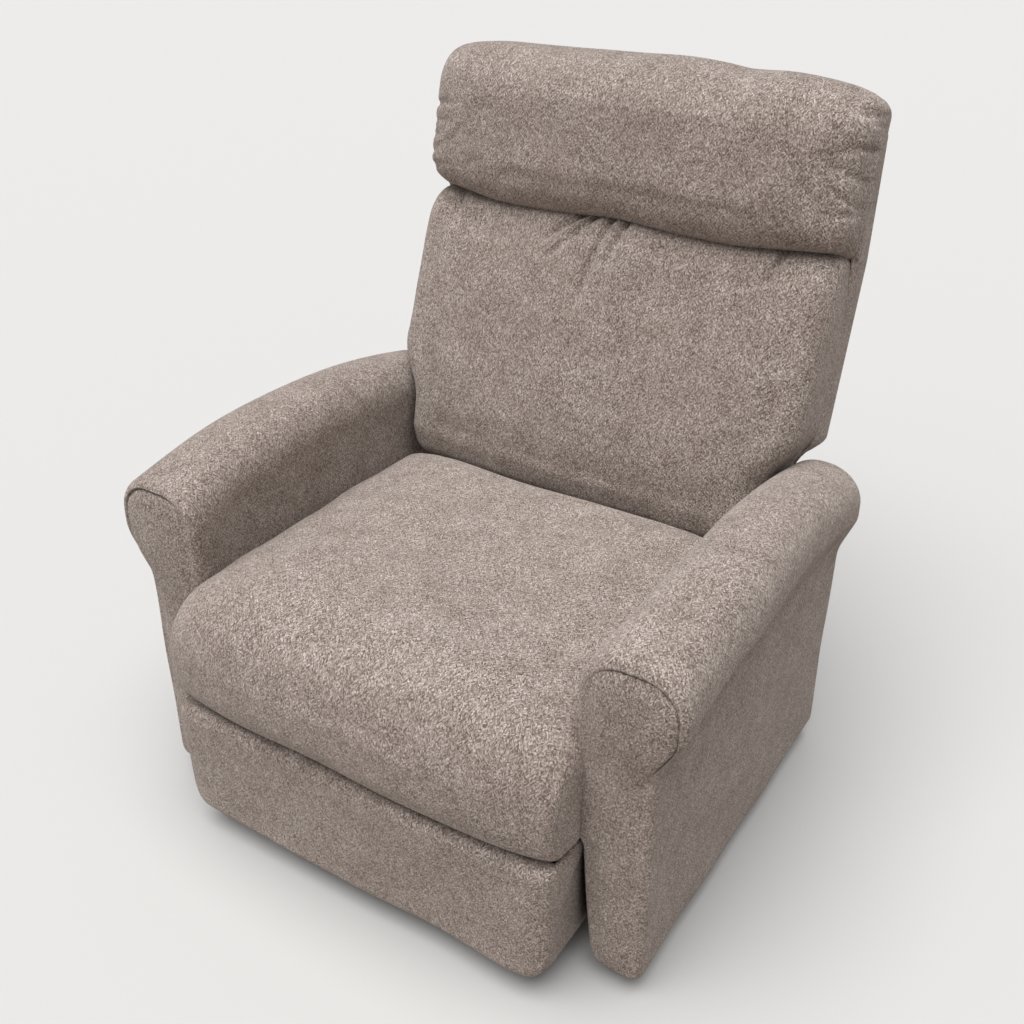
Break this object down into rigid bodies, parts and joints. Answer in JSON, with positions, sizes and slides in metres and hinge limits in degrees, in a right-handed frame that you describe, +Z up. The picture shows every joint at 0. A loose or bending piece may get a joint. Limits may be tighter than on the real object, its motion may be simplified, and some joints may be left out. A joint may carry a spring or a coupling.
{
  "type": "wall hugger recliner",
  "caption": "Upholstered reclining armchair with rolled arms, a plump headrest and a lift-up footrest, whose seat rolls forward on a floor base as its back goes down.",
  "frame": {"origin": "on the floor, at the middle of the chair's bounding box", "axes": "+Z up, the chair faces -Y, +X is the seated person's left"},
  "size_m": [0.87, 0.9001, 1.0229],
  "materials": {
    "upholstery": "flecked chenille weave",
    "webbing": "elastic webbing",
    "frame_wood": "plain sawn plywood",
    "mechanism_steel": "black powder coat",
    "spring_steel": "bright zinc",
    "roller_nylon": "moulded nylon",
    "black_plastic": "fine moulded grain"
  },
  "bodies": {
    "base": {"track_rail_l": "mechanism_steel", "track_rail_r": "mechanism_steel", "base_cross_front": "mechanism_steel", "base_cross_rear": "mechanism_steel", "guide_stanchion_l": "mechanism_steel", "guide_stanchion_r": "mechanism_steel", "glide_feet": "black_plastic", "base_bolts": "spring_steel"},
    "carriage": {"side_plate_l": "mechanism_steel", "side_plate_r": "mechanism_steel", "seat_side_rail_l": "frame_wood", "seat_side_rail_r": "frame_wood", "seat_front_rail": "frame_wood", "seat_rear_rail": "frame_wood", "seat_springs": "spring_steel", "seat_cushion": "upholstery", "arm_panel_l": "frame_wood", "arm_panel_r": "frame_wood", "arm_pad_l": "upholstery", "arm_pad_r": "upholstery", "arm_facing_l": "upholstery", "arm_facing_r": "upholstery", "frame_bolts": "spring_steel"},
    "front_rollers": {"front_rollers": "roller_nylon"},
    "rear_rollers": {"rear_rollers": "roller_nylon"},
    "back": {"back_post_l": "frame_wood", "back_post_r": "frame_wood", "back_top_rail": "frame_wood", "back_bottom_rail": "frame_wood", "back_webbing": "webbing", "back_cushion": "upholstery", "headrest_cushion": "upholstery", "back_side_panel_l": "upholstery", "back_side_panel_r": "upholstery", "back_rear_panel": "upholstery", "back_bracket_l": "mechanism_steel", "back_bracket_r": "mechanism_steel"},
    "drive": {"drive_tube": "mechanism_steel", "crank_l": "mechanism_steel", "crank_r": "mechanism_steel", "drive_bushes": "roller_nylon", "release_lever": "mechanism_steel", "lever_grip": "black_plastic"},
    "rear_links": {"rear_link_l": "mechanism_steel", "rear_link_r": "mechanism_steel"},
    "front_links": {"front_link_l": "mechanism_steel", "front_link_r": "mechanism_steel"},
    "lower_links": {"lower_link_l": "mechanism_steel", "lower_link_r": "mechanism_steel"},
    "upper_links": {"upper_links": "mechanism_steel"},
    "drive_rods": {"drive_rods": "mechanism_steel"},
    "footrest": {"footrest_board": "frame_wood", "footrest_pad": "upholstery", "footrest_bracket_l": "mechanism_steel", "footrest_bracket_r": "mechanism_steel"},
    "recline_rockers": {"recline_rocker_l": "mechanism_steel", "recline_rocker_r": "mechanism_steel"},
    "recline_rods": {"recline_rod_l": "mechanism_steel", "recline_rod_r": "mechanism_steel"}
  },
  "joints": [
    {"name": "back_recline", "type": "hinge", "parent": "carriage", "child": "back", "pos_m": [0, 0.23, 0.33], "axis": [-1, 0, 0], "range_deg": [0, 36]},
    {"name": "footrest_open", "type": "hinge", "parent": "carriage", "child": "drive", "pos_m": [0, -0.12, 0.22], "axis": [-1, 0, 0], "range_deg": [0, 95]},
    {"name": "carriage_glide", "type": "slide", "parent": "base", "child": "carriage", "axis": [0, -1, 0], "range_m": [0, 0.10517]},
    {"name": "recline_rocker_swing", "type": "hinge", "parent": "carriage", "child": "recline_rockers", "pos_m": [0, 0.045, 0.1], "axis": [-1, 0, 0], "range_deg": [0, 36]},
    {"name": "recline_rod_pivot", "type": "hinge", "parent": "back", "child": "recline_rods", "pos_m": [0, 0.28803, 0.29086], "axis": [-1, 0, 0], "range_deg": [-36, 0]},
    {"name": "front_roller_spin", "type": "hinge", "parent": "carriage", "child": "front_rollers", "pos_m": [0, -0.19, 0.033], "axis": [1, 0, 0], "range_deg": [0, 306.1]},
    {"name": "rear_roller_spin", "type": "hinge", "parent": "carriage", "child": "rear_rollers", "pos_m": [0, 0.195, 0.033], "axis": [1, 0, 0], "range_deg": [0, 306.1]},
    {"name": "rear_link_swing", "type": "hinge", "parent": "carriage", "child": "rear_links", "pos_m": [0, -0.3, 0.195], "axis": [-1, 0, 0], "range_deg": [0, 95]},
    {"name": "front_link_swing", "type": "hinge", "parent": "carriage", "child": "front_links", "pos_m": [0, -0.33897, 0.2175], "axis": [-1, 0, 0], "range_deg": [0, 95]},
    {"name": "drive_rod_pivot", "type": "hinge", "parent": "drive", "child": "drive_rods", "pos_m": [0, -0.10712, 0.1614], "axis": [-1, 0, 0], "range_deg": [-95, 0]},
    {"name": "lower_link_pivot", "type": "hinge", "parent": "rear_links", "child": "lower_links", "pos_m": [0, -0.26564, 0.03873], "axis": [-1, 0, 0], "range_deg": [-95, 0]},
    {"name": "upper_link_pivot", "type": "hinge", "parent": "rear_links", "child": "upper_links", "pos_m": [0, -0.27531, 0.08268], "axis": [-1, 0, 0], "range_deg": [-95, 0]},
    {"name": "footrest_pivot", "type": "hinge", "parent": "lower_links", "child": "footrest", "pos_m": [0, -0.376, 0.172], "axis": [-1, 0, 0], "range_deg": [0, 95]}
  ],
  "couplings": [
    {"joint": "carriage_glide", "follows": "back_recline", "m_per_rad": 0.16722},
    {"joint": "recline_rocker_swing", "follows": "back_recline", "ratio": 1},
    {"joint": "recline_rod_pivot", "follows": "back_recline", "ratio": -1},
    {"joint": "front_roller_spin", "follows": "back_recline", "ratio": 8.4882},
    {"joint": "rear_roller_spin", "follows": "back_recline", "ratio": 8.4882},
    {"joint": "rear_link_swing", "follows": "footrest_open", "ratio": 1},
    {"joint": "front_link_swing", "follows": "footrest_open", "ratio": 1},
    {"joint": "drive_rod_pivot", "follows": "footrest_open", "ratio": -1},
    {"joint": "lower_link_pivot", "follows": "footrest_open", "ratio": -1},
    {"joint": "upper_link_pivot", "follows": "footrest_open", "ratio": -1},
    {"joint": "footrest_pivot", "follows": "footrest_open", "ratio": 1}
  ]
}
